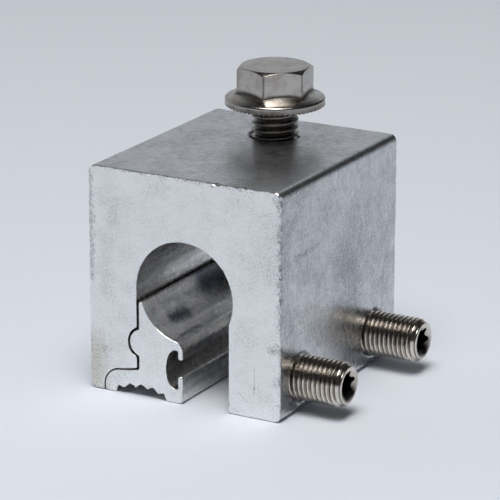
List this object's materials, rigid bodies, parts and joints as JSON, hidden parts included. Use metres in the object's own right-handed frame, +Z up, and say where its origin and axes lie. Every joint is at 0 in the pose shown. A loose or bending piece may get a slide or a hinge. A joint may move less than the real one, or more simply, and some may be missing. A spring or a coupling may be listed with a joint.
{
  "type": "standing seam roof clamp",
  "caption": "Aluminium block clamp that grips a standing seam on a metal roof, with a loose gripping insert, set screws on one side and a hex flange bolt on top.",
  "frame": {"origin": "middle of the block's underside, under the axis of the seam passage's round chamber", "axes": "+Z up, towards the bolt; +Y along the roof seam, towards the end that the bolt is nearer to; +X across the seam, towards the set screws"},
  "size_m": [0.0562, 0.0508, 0.0629],
  "materials": {
    "block_aluminium": "satin, lightly scratched",
    "insert_aluminium": "satin, lightly scratched",
    "bolt_steel": "bright, warm toned",
    "screw_steel": "bright, warm toned"
  },
  "bodies": {
    "block": {"clamp_block": "block_aluminium"},
    "insert": {"gripping_insert": "insert_aluminium"},
    "bolt": {"flange_bolt": "bolt_steel"},
    "front_screw": {"set_screw_front": "screw_steel"},
    "rear_screw": {"set_screw_rear": "screw_steel"}
  },
  "joints": [
    {"name": "insert_slide", "type": "slide", "parent": "block", "child": "insert", "axis": [0, -1, 0], "range_m": [-0.0508, 0.0508]},
    {"name": "bolt_travel", "type": "slide", "parent": "block", "child": "bolt", "axis": [0, 0, 1], "range_m": [-0.00665, 0.0093]},
    {"name": "front_screw_travel", "type": "slide", "parent": "block", "child": "front_screw", "axis": [-1, 0, 0], "range_m": [-0.0095, 0.01265]},
    {"name": "rear_screw_travel", "type": "slide", "parent": "block", "child": "rear_screw", "axis": [-1, 0, 0], "range_m": [-0.0085, 0.0138]}
  ]
}
